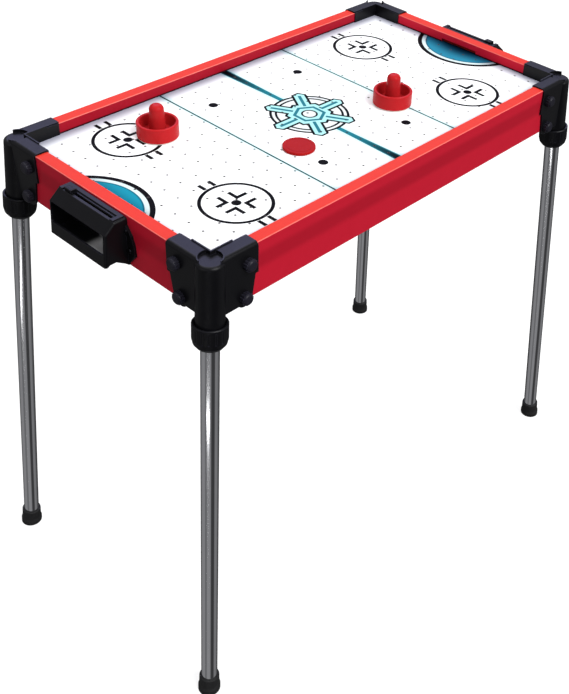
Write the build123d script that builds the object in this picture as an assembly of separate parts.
from build123d import *
from math import cos, radians, sqrt, tan
import os

# Air hockey table, millimetres.
# Origin: centre of the footprint on the floor. +X runs along the table, +Y to the back, +Z up.

# Driving dimensions of the frame
TABLE_LENGTH = 790.0
TABLE_WIDTH = 435.0
RAIL_TOP = 785.0
RAIL_HEIGHT = 79.0
RAIL_THICKNESS = 20.0
RAIL_BEVEL = 1.6
FIELD_DEPTH = 17.5
FIELD_THICKNESS = 6.0
GROOVE_DEPTH = 6.5
BOARD_INTO_GROOVE = 6.0
HOLE_RADIUS = 1.1
HOLE_PITCH = 27.7
HOLE_ROW_OFFSET = 5.0
HOLE_MARGIN = 7.0
GOAL_WIDTH = 76.0
GOAL_HEIGHT = 6.5

# Corner brackets
BRACKET_WALL = 3.0
CAP_THICKNESS = 2.5
CAP_EDGE_RADIUS = 6.0
SKIRT_WALL = 2.0
LIP_HEIGHT = 1.5
LIP_LENGTH = 36.0
ARM_LENGTH = 78.0
FLANGE_STEP_Z = 742.0
WEB_BOTTOM_Z = 703.0
LOBE_FROM_CORNER = 54.0
LOBE_Z = 712.0
LOBE_RADIUS = 13.5
CORNER_RADIUS = 9.0
COLUMN_RADIUS = 19.4
COLUMN_EDGE_RADIUS = 5.0
COLUMN_BOTTOM_Z = 688.0
POCKET_RADIUS = 15.6
POCKET_FLOOR_Z = 783.0
POCKET_WALL = 1.5
POCKET_OPENING = 3.0
SPIGOT_RADIUS = 16.5
SPIGOT_BOTTOM_Z = 665.0

# Legs, which splay outwards from the corners
LEG_SPLAY_X = 5.0
LEG_SPLAY_Y = 3.0
LEG_RADIUS = 12.7
LEG_WALL = 1.2
LEG_INSET = 14.0
LEG_TOP_Z = 700.0
LEG_END_Z = 5.0
STOP_GAP = 0.3
COLLET_BORE = LEG_RADIUS + 0.05
COLLET_RADIUS = 14.5
COLLET_FLANGE = 2.0
NUT_RADIUS = 24.0
NUT_CUP_RADIUS = 20.6
NUT_TOP_Z = 693.5
NUT_CUP_FLOOR_Z = 686.5
NUT_TAPER_Z = 671.0
NUT_BOTTOM_Z = 658.5
NUT_BOTTOM_RADIUS = 18.2
NUT_LIP = 3.5
NUT_FLUTES = 16
FLUTE_RADIUS = 2.6
FLUTE_DEPTH = 0.5
FOOT_TOP_Z = 30.0
FOOT_TOP_RADIUS = 15.8
FOOT_BASE_RADIUS = 17.6

# Thumb screws
KNOB_RADIUS = 9.5
KNOB_DEPTH = 9.0
KNOB_CORE_RADIUS = 8.6
KNOB_DOME_RADIUS = 3.5
KNOB_RIBS = 14
KNOB_RIB_RADIUS = 1.3
SHANK_RADIUS = 2.5
SHANK_LENGTH = 14.0
UPPER_KNOB_FROM_CORNER = 61.0
UPPER_KNOB_Z = 762.0
LOWER_KNOB_Z = 713.0

# Goal boxes
BOX_HALF = 60.0
BOX_WALL = 2.5
BOX_TOP_Z = 781.0
BOX_FLOOR_Z = 724.0
BOX_FLAT = 20.0
BOX_FRONT_TOP = (36.0, 768.0)
BOX_FRONT_BOTTOM = (40.0, 719.0)
WINDOW_HALF = 56.0
WINDOW_LOW_Z = 737.0
WINDOW_HIGH_Z = 767.5
FOLD_RADIUS = 1.5
SLOT_HALF = 48.0
RIM_HEIGHT = 2.0
RIM_INSET = 3.0
RIM_END_WIDTH = 6.5
SLOT_NEAR = 11.0
SLOT_FAR = 16.0
SLIDER_LENGTH = 14.0
SLIDER_TRAVEL_START = 40.0
BOX_FLANGE = 3.5
BOX_SCREWS = ((60.0, 762.0), (65.0, 733.0))
BOX_SCREW_RADIUS = 1.7

# Loose pieces on the playing surface
AIR_GAP = 0.3
MALLET_RADIUS = 31.0
MALLET_RIM = 24.0
MALLET_RIM_WIDTH = 4.5
MALLET_HEIGHT = 50.5
MALLET_KNOB_BASE = 12.5
MALLET_KNOB_TOP = 10.5
MALLET_WALL = 2.5
FELT_THICKNESS = 1.5
MALLET_LEFT = (-215.0, 101.0)
MALLET_RIGHT = (124.0, -61.0)
PUCK_RADIUS = 24.5
PUCK_HEIGHT = 4.5
PUCK_PLACE = (-88.0, -63.5)

# Underside: plenum panel, battens and blower
PANEL_BOTTOM_Z = 710.0
PANEL_THICKNESS = 3.0
BATTEN_X = 190.0
BATTEN_THICKNESS = 12.0
BATTEN_SCREW_Y = (-150.0, -50.0, 50.0, 150.0)
SMALL_SCREW_RADIUS = 1.6
SMALL_HEAD_RADIUS = 3.2
SMALL_HEAD = 2.0
FAN_OPENING = 40.0
GASKET_THICKNESS = 2.0
HOUSING_FLANGE = 66.0
HOUSING_HALF = 55.0
HOUSING_WALL = 2.5
HOUSING_BOTTOM_Z = 668.0
HOUSING_SCREW = 60.0
INLET_RADIUS = 42.0
GRILLE_RADIUS = 50.0
GRILLE_THICKNESS = 2.5
MOTOR_RADIUS = 13.5
MOTOR_BOTTOM_Z = 674.0
MOTOR_TOP_Z = 698.0
SHAFT_RADIUS = 1.5
SHAFT_BORE = 1.55
HUB_RADIUS = 11.0
HUB_BOTTOM_Z = 700.0
HUB_TOP_Z = 716.0
FAN_RADIUS = 36.0
FAN_BLADES = 7
BLADE_PITCH = 35.0
SWITCH_X = -25.0
DC_X = 25.0
DC_PIN_RADIUS = 1.05
SWITCH_Z = 688.0
ROCKER_HALF_TRAVEL = 9.0

HALF_X = TABLE_LENGTH / 2
HALF_Y = TABLE_WIDTH / 2
INNER_X = HALF_X - RAIL_THICKNESS
INNER_Y = HALF_Y - RAIL_THICKNESS
RAIL_BOTTOM = RAIL_TOP - RAIL_HEIGHT
FIELD_Z = RAIL_TOP - FIELD_DEPTH
FIELD_UNDER = FIELD_Z - FIELD_THICKNESS
PANEL_TOP_Z = PANEL_BOTTOM_Z + PANEL_THICKNESS
FLANGE_TOP_Z = PANEL_BOTTOM_Z - GASKET_THICKNESS
CAP_TOP = RAIL_TOP + CAP_THICKNESS
LEG_AXIS_X = HALF_X - LEG_INSET
LEG_AXIS_Y = HALF_Y - LEG_INSET
LEG_LEAN = sqrt(1 + tan(radians(LEG_SPLAY_X)) ** 2 + tan(radians(LEG_SPLAY_Y)) ** 2)
CORNERS = {
    "front_left": (-1, -1),
    "front_right": (1, -1),
    "back_left": (-1, 1),
    "back_right": (1, 1),
}

# Local frame of the power inlet: its +Z runs into the housing from the socket's outer face
DC_FRAME = Pos(DC_X, -HOUSING_HALF - 1.5, SWITCH_Z) * Rot(-90, 0, 0)

# Local frame of the back right leg: its +Z runs down the leg from the level of the rail tops
LEG_FRAME = Plane(
    origin=(LEG_AXIS_X, LEG_AXIS_Y, RAIL_TOP),
    x_dir=(1, 0, tan(radians(LEG_SPLAY_X))),
    z_dir=(tan(radians(LEG_SPLAY_X)), tan(radians(LEG_SPLAY_Y)), -1),
)


def block(x0, x1, y0, y1, z0, z1):
    """A box between two corners."""
    return Pos((x0 + x1) / 2, (y0 + y1) / 2, (z0 + z1) / 2) * Box(x1 - x0, y1 - y0, z1 - z0)


def turned(profile):
    """A solid of revolution about Z from its (radius, height) outline."""
    outline = Polyline(*profile, close=True)
    return revolve(make_face(Plane.XZ * outline), Axis.Z)


def down_leg(z):
    """Distance down the leg frame to the height z on the leg's axis."""
    return (RAIL_TOP - z) * LEG_LEAN


def leg_cylinder(radius, z_high, z_low):
    """A cylinder on the leg's axis between two heights."""
    start, end = down_leg(z_high), down_leg(z_low)
    return LEG_FRAME * Pos(0, 0, (start + end) / 2) * Cylinder(radius, end - start)


def leg_turned(profile):
    """A solid of revolution about the leg's axis from its (radius, height) outline."""
    return LEG_FRAME * turned([(r, down_leg(z)) for r, z in profile])


def at_corner(piece, side_x, side_y):
    """The back right corner's piece, mirrored to another corner."""
    if side_x < 0:
        piece = mirror(piece, about=Plane.YZ)
    if side_y < 0:
        piece = mirror(piece, about=Plane.XZ)
    return piece


def ribbed_knob():
    """One thumb screw along +Z: shank and domed knob with ribs."""
    knob = Pos(0, 0, KNOB_DEPTH / 2) * Cylinder(KNOB_CORE_RADIUS, KNOB_DEPTH)
    knob = fillet(knob.edges().sort_by(Axis.Z)[-1], KNOB_DOME_RADIUS)
    rib_length = KNOB_DEPTH - KNOB_DOME_RADIUS + 0.8
    for i in range(KNOB_RIBS):
        rib = Pos(KNOB_RADIUS - KNOB_RIB_RADIUS, 0, rib_length / 2) * Cylinder(KNOB_RIB_RADIUS, rib_length)
        knob += Rot(0, 0, 360 / KNOB_RIBS * i) * rib
    shank_length = SHANK_LENGTH + BRACKET_WALL
    return knob + Pos(0, 0, -shank_length / 2) * Cylinder(SHANK_RADIUS, shank_length)


def corner_thumb_screws():
    """The back right corner's four thumb screws: two on each outer face."""
    one = ribbed_knob()
    face_x = HALF_X + BRACKET_WALL
    face_y = HALF_Y + BRACKET_WALL
    spots = ((UPPER_KNOB_FROM_CORNER, UPPER_KNOB_Z), (LOBE_FROM_CORNER, LOWER_KNOB_Z))
    screws = []
    for along, height in spots:
        screws.append(Pos(HALF_X - along, face_y, height) * Rot(-90, 0, 0) * one)
        screws.append(Pos(face_x, HALF_Y - along, height) * Rot(0, 90, 0) * one)
    return screws


def flange_face():
    """Outline of an outer flange: along the rail from the corner against height."""
    plate = Polygon(
        (-BRACKET_WALL, CAP_TOP),
        (ARM_LENGTH, CAP_TOP),
        (ARM_LENGTH, FLANGE_STEP_Z),
        (ARM_LENGTH - 5, FLANGE_STEP_Z),
        (LOBE_FROM_CORNER + LOBE_RADIUS, LOBE_Z),
        (LOBE_FROM_CORNER, WEB_BOTTOM_Z),
        (-BRACKET_WALL, WEB_BOTTOM_Z),
        align=None,
    )
    return plate + Pos(LOBE_FROM_CORNER, LOBE_Z) * Circle(LOBE_RADIUS)


def over_leg(radius, z_low, z_high):
    """An upright cylinder on the leg's axis at the level of the rail tops."""
    return Pos(LEG_AXIS_X, LEG_AXIS_Y, (z_low + z_high) / 2) * Cylinder(radius, z_high - z_low)


def corner_opening(clearance, low):
    """The outer corner of the cap, where the pocket lies open above the rounded column."""
    start_x = LEG_AXIS_X - POCKET_OPENING - clearance
    start_y = LEG_AXIS_Y - POCKET_OPENING - clearance
    return block(start_x, HALF_X + 10, start_y, HALF_Y + 10, low - clearance, CAP_TOP + 10)


def cap_pocket():
    """The round pocket sunk into the cap over the leg, open towards the outer corner."""
    above = CAP_TOP + 10
    pocket = over_leg(POCKET_RADIUS, POCKET_FLOOR_Z, above)
    pocket -= block(0, INNER_X, 0, INNER_Y, POCKET_FLOOR_Z - 1, above + 1)
    return pocket + corner_opening(0, POCKET_FLOOR_Z - COLUMN_EDGE_RADIUS)


def rail_notch(clearance):
    """The room for the sunk pocket that is cut out of the rails' corner."""
    wall = POCKET_WALL + clearance
    notch = over_leg(POCKET_RADIUS + wall, POCKET_FLOOR_Z - wall, RAIL_TOP + 1)
    return notch + corner_opening(clearance, POCKET_FLOOR_Z - COLUMN_EDGE_RADIUS - POCKET_WALL)


def corner_shell():
    """Cap, outer flanges and shelf of a bracket, with the outer edges rounded."""
    x_flange = Plane(origin=(HALF_X, HALF_Y, 0), x_dir=(-1, 0, 0), z_dir=(0, 1, 0)) * flange_face()
    y_flange = Plane(origin=(HALF_X, HALF_Y, 0), x_dir=(0, -1, 0), z_dir=(-1, 0, 0)) * flange_face()
    flanges = extrude(x_flange, BRACKET_WALL, dir=(0, 1, 0)) + extrude(y_flange, BRACKET_WALL, dir=(1, 0, 0))
    outer_x = HALF_X + BRACKET_WALL
    outer_y = HALF_Y + BRACKET_WALL
    cap = block(HALF_X - ARM_LENGTH, outer_x, INNER_Y, outer_y, RAIL_TOP, CAP_TOP)
    cap += block(INNER_X, outer_x, HALF_Y - ARM_LENGTH, outer_y, RAIL_TOP, CAP_TOP)
    shelf_reach = 40.0
    shelf = block(HALF_X - shelf_reach, outer_x, INNER_Y, outer_y, WEB_BOTTOM_Z, RAIL_BOTTOM)
    shelf += block(INNER_X, outer_x, HALF_Y - shelf_reach, outer_y, WEB_BOTTOM_Z, RAIL_BOTTOM)
    shell = flanges + cap + shelf
    upright = shell.edges().filter_by(Axis.Z).filter_by_position(Axis.X, outer_x - 0.1, outer_x + 0.1)
    upright = upright.filter_by_position(Axis.Y, outer_y - 0.1, outer_y + 0.1)
    shell = fillet(upright, CORNER_RADIUS)
    top = shell.edges().group_by(Axis.Z)[-1]
    near = CORNER_RADIUS / 2
    outer = [e for e in top if e.center().X > outer_x - near or e.center().Y > outer_y - near]
    return fillet([e for e in outer if e.length > CORNER_RADIUS], CAP_EDGE_RADIUS)


def leg_column():
    """The round column around the leg and the spigot that takes the nut."""
    column = leg_cylinder(COLUMN_RADIUS, CAP_TOP + 10, COLUMN_BOTTOM_Z)
    column -= block(0, 2 * HALF_X, 0, 2 * HALF_Y, POCKET_FLOOR_Z, CAP_TOP + 30)
    column = fillet(column.edges().sort_by(Axis.Z)[-1], COLUMN_EDGE_RADIUS)
    return column + leg_cylinder(SPIGOT_RADIUS, COLUMN_BOTTOM_Z + 1, SPIGOT_BOTTOM_Z)


def inner_skirts():
    """Thin walls down to the board inside the rails, with a raised lip round the inner corner."""
    skirt_top = RAIL_TOP + 1
    lip_top = CAP_TOP + LIP_HEIGHT
    far_x = HALF_X - ARM_LENGTH + 1
    far_y = HALF_Y - ARM_LENGTH + 1
    skirts = block(far_x, INNER_X, INNER_Y - SKIRT_WALL, INNER_Y, FIELD_Z, skirt_top)
    skirts += block(INNER_X - SKIRT_WALL, INNER_X, far_y, INNER_Y, FIELD_Z, skirt_top)
    skirts += block(INNER_X - LIP_LENGTH, INNER_X, INNER_Y - SKIRT_WALL, INNER_Y, FIELD_Z, lip_top)
    skirts += block(INNER_X - SKIRT_WALL, INNER_X, INNER_Y - LIP_LENGTH, INNER_Y, FIELD_Z, lip_top)
    return skirts


def corner_bracket():
    """The moulded corner: cap with its pocket, outer flanges, inner skirts, shelf and leg column."""
    rails = block(-HALF_X, HALF_X, -HALF_Y, HALF_Y, RAIL_BOTTOM, RAIL_TOP) - rail_notch(0)
    well = over_leg(POCKET_RADIUS + POCKET_WALL, POCKET_FLOOR_Z - POCKET_WALL, CAP_TOP)
    well -= block(0, INNER_X, 0, INNER_Y, RAIL_BOTTOM, CAP_TOP + 1)
    well &= block(0, HALF_X + BRACKET_WALL, 0, HALF_Y + BRACKET_WALL, RAIL_BOTTOM, CAP_TOP)
    bracket = corner_shell() + well - cap_pocket()
    bracket += leg_column() - rails - block(0, INNER_X, 0, INNER_Y, RAIL_BOTTOM, CAP_TOP)
    bracket += inner_skirts()
    bracket -= leg_cylinder(COLLET_RADIUS, LEG_TOP_Z + STOP_GAP, SPIGOT_BOTTOM_Z - 5)
    return bracket - corner_thumb_screws()


def leg_collet():
    """Nylon sleeve in the socket that grips the leg when its nut is tight."""
    top = LEG_TOP_Z - 4
    flange_low = SPIGOT_BOTTOM_Z - COLLET_FLANGE
    return leg_turned(
        [
            (COLLET_BORE, top),
            (COLLET_RADIUS, top),
            (COLLET_RADIUS, SPIGOT_BOTTOM_Z),
            (SPIGOT_RADIUS - 0.5, SPIGOT_BOTTOM_Z),
            (SPIGOT_RADIUS - 0.5, flange_low),
            (COLLET_BORE, flange_low),
        ]
    )


def lock_nut():
    """Hand nut that closes the collet on the leg: a cup around the column, tapered below."""
    bore = SPIGOT_RADIUS + 0.5
    floor = NUT_BOTTOM_Z + NUT_LIP
    mouth = LEG_RADIUS + 0.8
    nut = leg_turned(
        [
            (bore, NUT_CUP_FLOOR_Z),
            (NUT_CUP_RADIUS, NUT_CUP_FLOOR_Z),
            (NUT_CUP_RADIUS, NUT_TOP_Z - 0.6),
            (NUT_CUP_RADIUS + 0.6, NUT_TOP_Z),
            (NUT_RADIUS - 1.0, NUT_TOP_Z),
            (NUT_RADIUS, NUT_TOP_Z - 1.0),
            (NUT_RADIUS, NUT_TAPER_Z),
            (NUT_RADIUS - 1.6, NUT_TAPER_Z - 7),
            (NUT_BOTTOM_RADIUS, NUT_BOTTOM_Z),
            (mouth, NUT_BOTTOM_Z),
            (mouth, floor),
            (bore, floor),
        ]
    )
    start, end = down_leg(NUT_TOP_Z) + 4, down_leg(NUT_TAPER_Z) - 1
    out = NUT_RADIUS + FLUTE_RADIUS - FLUTE_DEPTH
    flute = Pos(out, 0, (start + end) / 2) * Cylinder(FLUTE_RADIUS, end - start)
    return nut - [LEG_FRAME * Rot(0, 0, 360 / NUT_FLUTES * i) * flute for i in range(NUT_FLUTES)]


def leg_tube():
    """Chromed steel tube of a leg."""
    outer = leg_cylinder(LEG_RADIUS, LEG_TOP_Z, LEG_END_Z)
    return outer - leg_cylinder(LEG_RADIUS - LEG_WALL, LEG_TOP_Z + 5, LEG_END_Z - 5)


def leg_foot():
    """Rubber cap on the leg's end, flat on the floor although the leg leans."""
    body = leg_turned(
        [
            (0, FOOT_TOP_Z),
            (FOOT_TOP_RADIUS - 1, FOOT_TOP_Z),
            (FOOT_TOP_RADIUS, FOOT_TOP_Z - 1),
            (FOOT_TOP_RADIUS + 0.3, 12),
            (FOOT_BASE_RADIUS, 8),
            (FOOT_BASE_RADIUS, -6),
            (0, -6),
        ]
    )
    body -= leg_cylinder(LEG_RADIUS, FOOT_TOP_Z + 5, LEG_END_Z)
    centre = LEG_FRAME.origin
    reach = 200
    return body - block(centre.X - reach, centre.X + reach, centre.Y - reach, centre.Y + reach, -50, 0)


def playfield():
    """Board with its grid of air holes, held in the rails' grooves."""
    length = 2 * (INNER_X + BOARD_INTO_GROOVE)
    width = 2 * (INNER_Y + BOARD_INTO_GROOVE)
    columns = int((INNER_X - HOLE_MARGIN) / HOLE_PITCH)
    rows = int(INNER_Y / HOLE_PITCH) + 1
    corner = ARM_LENGTH - RAIL_THICKNESS
    spots = []
    for i in range(-columns, columns + 1):
        for j in range(-rows, rows + 1):
            x, y = i * HOLE_PITCH, j * HOLE_PITCH + HOLE_ROW_OFFSET
            near_skirt = abs(x) > INNER_X - corner and abs(y) > INNER_Y - HOLE_MARGIN - SKIRT_WALL
            if abs(y) < INNER_Y - HOLE_MARGIN and not near_skirt:
                spots.append((x, y))
    board = Rectangle(length, width) - [Pos(x, y) * Circle(HOLE_RADIUS) for x, y in spots]
    return extrude(Pos(0, 0, FIELD_UNDER) * board, FIELD_THICKNESS, dir=(0, 0, 1))


def side_rail():
    """Back rail: full length, grooved for the board, its outer top edge bevelled."""
    rail = block(-HALF_X, HALF_X, INNER_Y, HALF_Y, RAIL_BOTTOM, RAIL_TOP)
    edges = rail.edges().filter_by(Axis.X).group_by(Axis.Z)[-1]
    rail = fillet(edges, RAIL_BEVEL)
    return rail - block(-HALF_X - 1, HALF_X + 1, INNER_Y - 1, INNER_Y + GROOVE_DEPTH, FIELD_UNDER, FIELD_Z)


def end_rail():
    """Right end rail between the side rails, with its goal slot."""
    rail = block(INNER_X, HALF_X, -INNER_Y, INNER_Y, RAIL_BOTTOM, RAIL_TOP)
    edges = rail.edges().filter_by(Axis.Y).group_by(Axis.Z)[-1]
    rail = fillet(edges, RAIL_BEVEL)
    rail -= block(INNER_X - 1, INNER_X + GROOVE_DEPTH, -INNER_Y - 1, INNER_Y + 1, FIELD_UNDER, FIELD_Z)
    half = GOAL_WIDTH / 2
    slot = block(INNER_X - 1, HALF_X + 1, -half, half, FIELD_Z, FIELD_Z + GOAL_HEIGHT)
    return rail - slot


def box_screw_spots():
    """Places of a goal box's four screws on its flange, as (y, z)."""
    return [(side * y, z) for y, z in BOX_SCREWS for side in (-1, 1)]


def goal_box_screws():
    """Pan head screws that hold the right goal box to the end rail."""
    screws = []
    for y, z in box_screw_spots():
        face = HALF_X + BOX_FLANGE
        head = Pos(face + 1.1, y, z) * Rot(0, 90, 0) * Cylinder(3.6, 2.2)
        head = fillet(head.edges().sort_by(Axis.X)[-1], 1.2)
        head -= block(face + 1.2, face + 3, y - 2.4, y + 2.4, z - 0.5, z + 0.5)
        head -= block(face + 1.2, face + 3, y - 0.5, y + 0.5, z - 2.4, z + 2.4)
        length = BOX_FLANGE + 12
        shank = Pos(face - length / 2, y, z) * Rot(0, 90, 0) * Cylinder(BOX_SCREW_RADIUS, length)
        screws.append(head + shank)
    return screws


def box_profile(*points):
    """A goal box outline in the plane of X and Z, measured outwards from the end rail's face."""
    return make_face(Plane.XZ * Polyline(*[(HALF_X + u, z) for u, z in points], close=True))


def across(face, half):
    """The outline drawn out to both sides of the table's centre line."""
    return extrude(face, half, both=True)


def goal_box():
    """Right goal box: puck tray with a front window, a score slot on top and a screwed flange."""
    front_u, front_z = BOX_FRONT_TOP
    lip_u, lip_z = BOX_FRONT_BOTTOM
    floor_low = BOX_FLOOR_Z - BOX_WALL
    outer = across(
        box_profile(
            (0, BOX_TOP_Z),
            (BOX_FLAT, BOX_TOP_Z),
            (front_u, front_z),
            (lip_u, lip_z),
            (lip_u - 4, lip_z),
            (lip_u - 8, floor_low),
            (0, floor_low),
        ),
        BOX_HALF,
    )
    folds = [e for e in outer.edges().filter_by(Axis.Y) if e.center().Z > front_z - 1]
    outer = fillet([e for e in folds if e.center().X > HALF_X + 1], FOLD_RADIUS)
    side_edges = [e for e in outer.edges() if abs(abs(e.center().Y) - BOX_HALF) < 0.01]
    side_edges = [e for e in side_edges if e.center().X > HALF_X + 1 and e.center().Z > BOX_FLOOR_Z]
    outer = fillet(side_edges, 3.5)
    slope = (lip_u - front_u) / (front_z - lip_z)
    inner_low = front_u - BOX_WALL + slope * (front_z - BOX_FLOOR_Z)
    inner = across(
        box_profile(
            (BOX_FLANGE, BOX_TOP_Z - BOX_WALL),
            (BOX_FLAT - 0.8, BOX_TOP_Z - BOX_WALL),
            (front_u - BOX_WALL, front_z - 1.6),
            (inner_low, BOX_FLOOR_Z),
            (BOX_FLANGE, BOX_FLOOR_Z),
        ),
        BOX_HALF - BOX_WALL,
    )
    outline = Polyline(
        (50, BOX_TOP_Z - 2),
        (60, 770),
        (70, 757),
        (74, 742),
        (75, 727),
        (62, 712),
        (46, 707),
        (-46, 707),
        (-62, 712),
        (-75, 727),
        (-74, 742),
        (-70, 757),
        (-60, 770),
        (-50, BOX_TOP_Z - 2),
        close=True,
    )
    flange_sketch = make_face(Plane(origin=(HALF_X, 0, 0), x_dir=(0, 1, 0), z_dir=(1, 0, 0)) * outline)
    flange = extrude(flange_sketch, BOX_FLANGE, dir=(1, 0, 0))
    under = box_profile((0, floor_low + 1), (24, floor_low + 1), (9, 713), (3, 708), (0, 708))
    gusset = across(under, BOX_HALF)
    gusset -= block(HALF_X - 1, HALF_X + 40, BOX_WALL - BOX_HALF, BOX_HALF - BOX_WALL, 690, floor_low)
    rim_top = BOX_TOP_Z + RIM_HEIGHT
    rim_end = BOX_HALF - RIM_INSET
    rim = block(HALF_X + 1.5, HALF_X + 8.5, -rim_end, rim_end, BOX_TOP_Z - 1, rim_top)
    for side in (-1, 1):
        middle = side * (rim_end - RIM_END_WIDTH / 2)
        near, far = middle - RIM_END_WIDTH / 2, middle + RIM_END_WIDTH / 2
        rim += block(HALF_X + 7, HALF_X + BOX_FLAT, near, far, BOX_TOP_Z - 1, rim_top)
    rim = fillet(rim.edges().group_by(Axis.Z)[-1], 0.8)
    box = outer + flange + gusset + rim
    box -= inner
    window = make_face(
        Plane(origin=(HALF_X + 30, 0, 0), x_dir=(0, 1, 0), z_dir=(1, 0, 0))
        * Polyline(
            (-WINDOW_HALF, WINDOW_LOW_Z),
            (WINDOW_HALF, WINDOW_LOW_Z),
            (WINDOW_HALF, WINDOW_HIGH_Z),
            (-WINDOW_HALF, WINDOW_HIGH_Z),
            close=True,
        )
    )
    window = fillet(window.vertices(), 4.0)
    box -= extrude(window, 20, dir=(1, 0, 0))
    box -= block(HALF_X + SLOT_NEAR, HALF_X + SLOT_FAR, -SLOT_HALF, SLOT_HALF, BOX_TOP_Z - 6, BOX_TOP_Z + 5)
    mouth = GOAL_WIDTH / 2
    box -= block(HALF_X - 1, HALF_X + BOX_FLANGE + 1, -mouth, mouth, FIELD_Z, FIELD_Z + GOAL_HEIGHT)
    box -= goal_box_screws()
    return box


def score_slider():
    """Right end's score marker: a ridged head over the slot, a neck through it and a foot under it."""
    y0 = -SLIDER_TRAVEL_START - SLIDER_LENGTH / 2
    y1 = -SLIDER_TRAVEL_START + SLIDER_LENGTH / 2
    gap = 0.3
    head = block(HALF_X + 8.9, HALF_X + 18.5, y0, y1, BOX_TOP_Z + gap, BOX_TOP_Z + 5)
    head = fillet(head.edges().group_by(Axis.Z)[-1], 1.0)
    for i in range(4):
        y = y0 + 2.6 + i * 3.0
        head -= block(HALF_X + 8, HALF_X + 19, y - 0.4, y + 0.4, BOX_TOP_Z + 4.4, BOX_TOP_Z + 6)
    under = BOX_TOP_Z - BOX_WALL
    neck = block(HALF_X + SLOT_NEAR + 0.4, HALF_X + SLOT_FAR - 0.4, y0 + 1, y1 - 1, under - 1, BOX_TOP_Z + 1)
    foot = block(HALF_X + 8.5, HALF_X + 18.5, y0 + 1, y1 - 1, under - 2.3, under - gap)
    return head + neck + foot


def mallet(x, y):
    """Striker: a deep dished rim, hollow below, with a domed grip in the middle."""
    base = FIELD_Z + AIR_GAP + FELT_THICKNESS
    rim = FIELD_Z + AIR_GAP + MALLET_RIM
    top = FIELD_Z + AIR_GAP + MALLET_HEIGHT
    dish = base + 5.0
    solid = turned(
        [
            (0, base),
            (MALLET_RADIUS - 0.6, base),
            (MALLET_RADIUS, base + 0.6),
            (MALLET_RADIUS, rim),
            (MALLET_RADIUS - MALLET_RIM_WIDTH, rim),
            (MALLET_RADIUS - MALLET_RIM_WIDTH - 3.5, dish + 1),
            (MALLET_KNOB_BASE, dish),
            (MALLET_KNOB_TOP, top),
            (0, top),
        ]
    )
    for level, radius in ((top, MALLET_KNOB_TOP - 2.4), (rim, 1.8), (dish, 3.0)):
        circles = solid.edges().filter_by(GeomType.CIRCLE)
        solid = fillet([e for e in circles if abs(e.center().Z - level) < 0.01], radius)
    ceiling = dish - MALLET_WALL
    hollow = turned(
        [
            (0, base - 1),
            (MALLET_RADIUS - 9.5, base - 1),
            (MALLET_RADIUS - 9.5, ceiling),
            (MALLET_KNOB_BASE - MALLET_WALL, ceiling),
            (MALLET_KNOB_TOP - MALLET_WALL, top - 10),
            (0, top - 5),
        ]
    )
    return Pos(x, y, 0) * (solid - hollow)


def mallet_felt(x, y):
    """Felt ring under a mallet."""
    middle = FIELD_Z + AIR_GAP + FELT_THICKNESS / 2
    ring = Cylinder(MALLET_RADIUS - 1, FELT_THICKNESS) - Cylinder(MALLET_RADIUS - 8.5, 3 * FELT_THICKNESS)
    return Pos(x, y, middle) * ring


def puck():
    """Flat disc with eased edges and a shallow ring in its top."""
    x, y = PUCK_PLACE
    disc = Cylinder(PUCK_RADIUS, PUCK_HEIGHT)
    disc = fillet(disc.edges().filter_by(GeomType.CIRCLE), 0.9)
    disc -= Pos(0, 0, PUCK_HEIGHT / 2) * (Cylinder(PUCK_RADIUS - 4.5, 0.8) - Cylinder(PUCK_RADIUS - 6, 3))
    return Pos(x, y, FIELD_Z + AIR_GAP + PUCK_HEIGHT / 2) * disc


def panel_screws():
    """Screws from below through the plenum panel into the battens."""
    screws = []
    for x in (-BATTEN_X, BATTEN_X):
        for y in BATTEN_SCREW_Y:
            screws.append(small_screw(x, y, PANEL_BOTTOM_Z, 15))
    return screws


def small_screw(x, y, seat_z, length):
    """A pan head screw pointing up, its head under the seat."""
    shank = Pos(x, y, seat_z + length / 2) * Cylinder(SMALL_SCREW_RADIUS, length)
    head = Pos(x, y, seat_z - SMALL_HEAD / 2) * Cylinder(SMALL_HEAD_RADIUS, SMALL_HEAD)
    head -= block(x - 2, x + 2, y - 0.4, y + 0.4, seat_z - 4, seat_z - 1)
    head -= block(x - 0.4, x + 0.4, y - 2, y + 2, seat_z - 4, seat_z - 1)
    return shank + head


def batten(x):
    """Cross batten under the board, with three air passages."""
    half = BATTEN_THICKNESS / 2
    piece = block(x - half, x + half, -INNER_Y, INNER_Y, PANEL_TOP_Z, FIELD_UNDER)
    for y in (-100, 0, 100):
        piece -= block(x - 20, x + 20, y - 30, y + 30, PANEL_TOP_Z + 20, FIELD_UNDER - 8)
    return piece - panel_screws()


def housing_screws():
    """Four screws at the corners of the blower housing's flange."""
    seat = FLANGE_TOP_Z - HOUSING_WALL
    return [
        small_screw(sx * HOUSING_SCREW, sy * HOUSING_SCREW, seat, 12)
        for sx in (-1, 1)
        for sy in (-1, 1)
    ]


def base_panel():
    """Hardboard panel that closes the air chamber from below."""
    panel = block(-INNER_X, INNER_X, -INNER_Y, INNER_Y, PANEL_BOTTOM_Z, PANEL_TOP_Z)
    panel -= Pos(0, 0, PANEL_BOTTOM_Z) * Cylinder(FAN_OPENING, 20)
    return panel - panel_screws() - housing_screws()


def blower_gasket():
    """Foam gasket between the blower's flange and the panel."""
    ring = Box(2 * HOUSING_FLANGE, 2 * HOUSING_FLANGE, GASKET_THICKNESS)
    ring -= Cylinder(FAN_OPENING + 4, 10)
    return Pos(0, 0, PANEL_BOTTOM_Z - GASKET_THICKNESS / 2) * ring - housing_screws()


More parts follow.
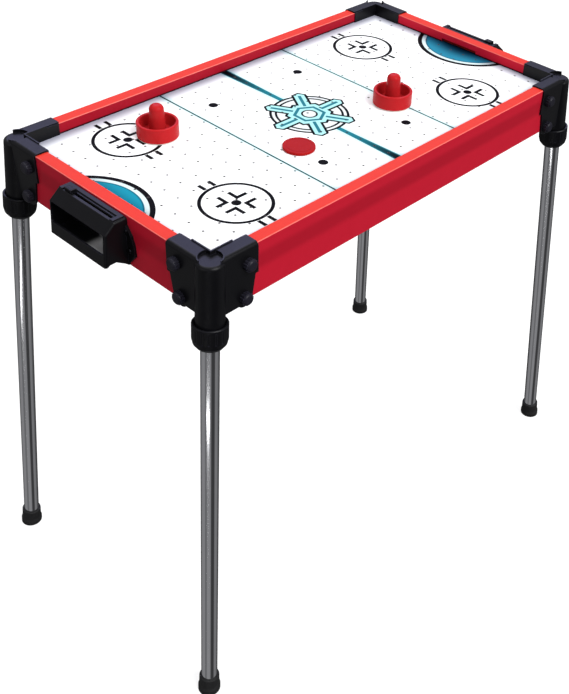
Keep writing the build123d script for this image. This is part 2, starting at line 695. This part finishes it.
def blower_housing():
    """Square cup that carries the motor, the switch and the power inlet."""
    wide = HOUSING_FLANGE
    flange = block(-wide, wide, -wide, wide, FLANGE_TOP_Z - HOUSING_WALL, FLANGE_TOP_Z)
    flange = fillet(flange.edges().filter_by(Axis.Z), 6)
    cup = block(-HOUSING_HALF, HOUSING_HALF, -HOUSING_HALF, HOUSING_HALF, HOUSING_BOTTOM_Z, FLANGE_TOP_Z)
    cup = fillet(cup.edges().filter_by(Axis.Z), 8)
    cup = fillet(cup.edges().group_by(Axis.Z)[0], 3)
    room = HOUSING_HALF - HOUSING_WALL
    inner = block(-room, room, -room, room, HOUSING_BOTTOM_Z + HOUSING_WALL, FLANGE_TOP_Z + 5)
    inner = fillet(inner.edges().filter_by(Axis.Z), 5.5)
    housing = flange + cup - inner
    housing -= Pos(0, 0, HOUSING_BOTTOM_Z) * Cylinder(INLET_RADIUS, 20)
    housing -= housing_screws()
    low, high = SWITCH_Z - 7.5, SWITCH_Z + 7.5
    housing -= block(SWITCH_X - 10, SWITCH_X + 10, -HOUSING_HALF - 5, 1 - room, low, high)
    housing -= Pos(DC_X, -HOUSING_HALF, SWITCH_Z) * Rot(90, 0, 0) * Cylinder(5.5, 20)
    return housing


def motor_mount():
    """Three-armed spider that holds the motor over the air inlet."""
    low = HOUSING_BOTTOM_Z + HOUSING_WALL
    thickness = MOTOR_BOTTOM_Z - low
    disc = Pos(0, 0, low + thickness / 2) * Cylinder(MOTOR_RADIUS + 3, thickness)
    reach = 49
    for angle in (90, 210, 330):
        arm = Pos(reach / 2, 0, low + thickness / 2) * Box(reach, 8, thickness)
        disc += Rot(0, 0, angle) * arm
    cup = Pos(0, 0, MOTOR_BOTTOM_Z + 3) * (Cylinder(MOTOR_RADIUS + 3, 6) - Cylinder(MOTOR_RADIUS, 8))
    cup -= block(-3, 3, -MOTOR_RADIUS - 4, 0, MOTOR_BOTTOM_Z, MOTOR_BOTTOM_Z + 7)
    return disc + cup


def motor():
    """Small direct current motor with the shaft's bearing bore."""
    can = Pos(0, 0, (MOTOR_BOTTOM_Z + MOTOR_TOP_Z) / 2) * Cylinder(MOTOR_RADIUS, MOTOR_TOP_Z - MOTOR_BOTTOM_Z)
    can = fillet(can.edges().sort_by(Axis.Z)[-1], 2)
    return can - Pos(0, 0, MOTOR_TOP_Z) * Cylinder(SHAFT_BORE, 24)


def motor_shaft():
    """Steel shaft from the motor's bearing into the impeller's hub."""
    low = MOTOR_TOP_Z - 11
    high = HUB_TOP_Z - 1
    return Pos(0, 0, (low + high) / 2) * Cylinder(SHAFT_RADIUS, high - low)


def impeller():
    """Axial fan: hub and pitched blades."""
    middle = (HUB_BOTTOM_Z + HUB_TOP_Z) / 2
    fan = Pos(0, 0, middle) * Cylinder(HUB_RADIUS, HUB_TOP_Z - HUB_BOTTOM_Z)
    fan = fillet(fan.edges().sort_by(Axis.Z)[-1], 2)
    span = FAN_RADIUS - HUB_RADIUS + 2
    for i in range(FAN_BLADES):
        blade = Pos(HUB_RADIUS - 2 + span / 2, 0, middle) * Rot(BLADE_PITCH, 0, 0) * Box(span, 15, 1.6)
        fan += Rot(0, 0, 360 / FAN_BLADES * i) * blade
    return fan - Pos(0, 0, middle - 1) * Cylinder(SHAFT_RADIUS, HUB_TOP_Z - HUB_BOTTOM_Z)


def blower_grille():
    """Finger guard under the air inlet: rim, rings and bars."""
    middle = HOUSING_BOTTOM_Z - GRILLE_THICKNESS / 2
    guard = Cylinder(GRILLE_RADIUS, GRILLE_THICKNESS) - Cylinder(INLET_RADIUS - 1, 10)
    for radius in (12, 20, 28, 36):
        guard += Cylinder(radius, GRILLE_THICKNESS) - Cylinder(radius - 2, 10)
    for i in range(3):
        guard += Rot(0, 0, 60 * i) * Box(2 * INLET_RADIUS, 2.5, GRILLE_THICKNESS)
    return Pos(0, 0, middle) * guard


def switch_bezel():
    """Frame of the power switch in the housing's front wall."""
    face = -HOUSING_HALF
    frame = block(SWITCH_X - 12, SWITCH_X + 12, face - 2, face, SWITCH_Z - 9.5, SWITCH_Z + 9.5)
    frame = fillet(frame.edges().filter_by(Axis.Y), 1.5)
    frame += block(SWITCH_X - 10, SWITCH_X + 10, face, face + 13, SWITCH_Z - 7.5, SWITCH_Z + 7.5)
    frame -= block(SWITCH_X - 8, SWITCH_X + 8, face - 5, face + 11, SWITCH_Z - 6.2, SWITCH_Z + 6.2)
    pivot = Pos(SWITCH_X, face + 1, SWITCH_Z) * Rot(0, 90, 0)
    return frame - pivot * Cylinder(1.05, 19)


def power_rocker():
    """Rocker of the power switch, at rest with its lower half out."""
    face = -HOUSING_HALF
    outline = Polyline((6, -4.2), (6, 4.2), (-4, 5.2), (-2.6, 0), (-4, -5.2), close=True)
    rocker = extrude(make_face(Plane.YZ * outline), 7.6, both=True)
    rocker = fillet(rocker.edges().filter_by(Axis.X).group_by(Axis.Y)[0], 0.6)
    rocker += Rot(0, 90, 0) * Cylinder(1.0, 18.6)
    return Pos(SWITCH_X, face + 1, SWITCH_Z) * Rot(ROCKER_HALF_TRAVEL, 0, 0) * rocker


def dc_inlet():
    """Barrel socket for the power plug."""
    shell = turned([(2.8, 0), (7, 0), (7, 1.5), (5.5, 1.5), (5.5, 13), (0, 13), (0, 10), (2.8, 10)])
    return DC_FRAME * (shell - dc_pin_rod())


def dc_pin_rod():
    """The inlet's centre pin in the inlet's own frame, rooted in its back wall."""
    return Pos(0, 0, 6.75) * Cylinder(DC_PIN_RADIUS, 10.5)


def dc_pin():
    """Centre contact of the power inlet."""
    rod = dc_pin_rod()
    return DC_FRAME * fillet(rod.edges().sort_by(Axis.Z)[0], 0.4)


def lead(points, radius):
    """One insulated wire along straight runs with rounded bends."""
    path = FilletPolyline(*points, radius=radius)
    start = Plane(origin=path @ 0, z_dir=path % 0)
    return sweep(start * Circle(1.0), path)


def motor_leads():
    """Wires between the inlet, the switch and the motor."""
    back_of_switch = -HOUSING_HALF + 13
    back_of_inlet = -HOUSING_HALF - 1.5 + 13
    from_switch, from_inlet, link = 684, 686, 691
    to_motor = [
        (SWITCH_X, back_of_switch, from_switch),
        (SWITCH_X, -30, from_switch),
        (-1, -30, 679),
        (-1, -MOTOR_RADIUS - 0.1, 679),
    ]
    to_motor_return = [
        (DC_X + 2, back_of_inlet, from_inlet),
        (DC_X + 2, -25, from_inlet),
        (1.6, -25, 682),
        (1.6, -MOTOR_RADIUS - 0.2, 682),
    ]
    inlet_to_switch = [
        (DC_X - 2, back_of_inlet, link),
        (DC_X - 2, -37, link),
        (SWITCH_X + 2, -37, link),
        (SWITCH_X + 2, back_of_switch, link),
    ]
    return [lead(to_motor, 5.0), lead(to_motor_return, 4.0), lead(inlet_to_switch, 3.5)]


def right_to_left(piece):
    """The other end's piece: the same moulding, turned half round."""
    return Rot(0, 0, 180) * piece


def write(name, piece):
    """Save one node; a list is kept as a group of separate solids."""
    solids = piece if isinstance(piece, list) else [piece]
    found = []
    for solid in solids:
        found.extend(solid.solids())
    body = found[0] if len(found) == 1 else Compound(found)
    export_step(body, f"parts/{name}.step")


os.makedirs("parts", exist_ok=True)

write("playfield", playfield())
write("base_panel", base_panel())
write("cross_batten_left", batten(-BATTEN_X))
write("cross_batten_right", batten(BATTEN_X))
write("base_panel_screws", panel_screws())

# Every corner's screws enter the rails, and its pocket is sunk into them
corner_cuts = []
for name, (side_x, side_y) in CORNERS.items():
    screws = [at_corner(s, side_x, side_y) for s in corner_thumb_screws()]
    corner_cuts.extend(screws)
    corner_cuts.append(at_corner(rail_notch(0.2), side_x, side_y))
    write(f"thumb_screws_{name}", screws)

back_rail = side_rail()
front_rail = mirror(back_rail, about=Plane.XZ)
right_rail = end_rail() - goal_box_screws()
left_rail = right_to_left(right_rail)
write("side_rail_back", back_rail - corner_cuts)
write("side_rail_front", front_rail - corner_cuts)
write("end_rail_right", right_rail - corner_cuts)
write("end_rail_left", left_rail - corner_cuts)

for piece_name, make in (
    ("corner_bracket", corner_bracket),
    ("leg_collet", leg_collet),
    ("lock_nut", lock_nut),
    ("leg", leg_tube),
    ("leg_foot", leg_foot),
):
    master = make()
    for name, (side_x, side_y) in CORNERS.items():
        write(f"{piece_name}_{name}", at_corner(master, side_x, side_y))

for piece_name, make in (
    ("goal_box", goal_box),
    ("goal_box_screws", goal_box_screws),
    ("score_slider", score_slider),
):
    right = make()
    pieces = right if isinstance(right, list) else [right]
    write(f"{piece_name}_right", pieces)
    write(f"{piece_name}_left", [right_to_left(p) for p in pieces])

for side, place in (("left", MALLET_LEFT), ("right", MALLET_RIGHT)):
    write(f"mallet_{side}", mallet(*place))
    write(f"mallet_felt_{side}", mallet_felt(*place))
write("puck", puck())

write("blower_gasket", blower_gasket())
write("blower_housing", blower_housing())
write("blower_screws", housing_screws())
write("blower_grille", blower_grille())
write("motor_mount", motor_mount())
write("motor", motor())
write("motor_shaft", motor_shaft())
write("impeller", impeller())
write("switch_bezel", switch_bezel())
write("power_rocker", power_rocker())
write("dc_inlet", dc_inlet())
write("dc_inlet_pin", dc_pin())
write("motor_leads", motor_leads())
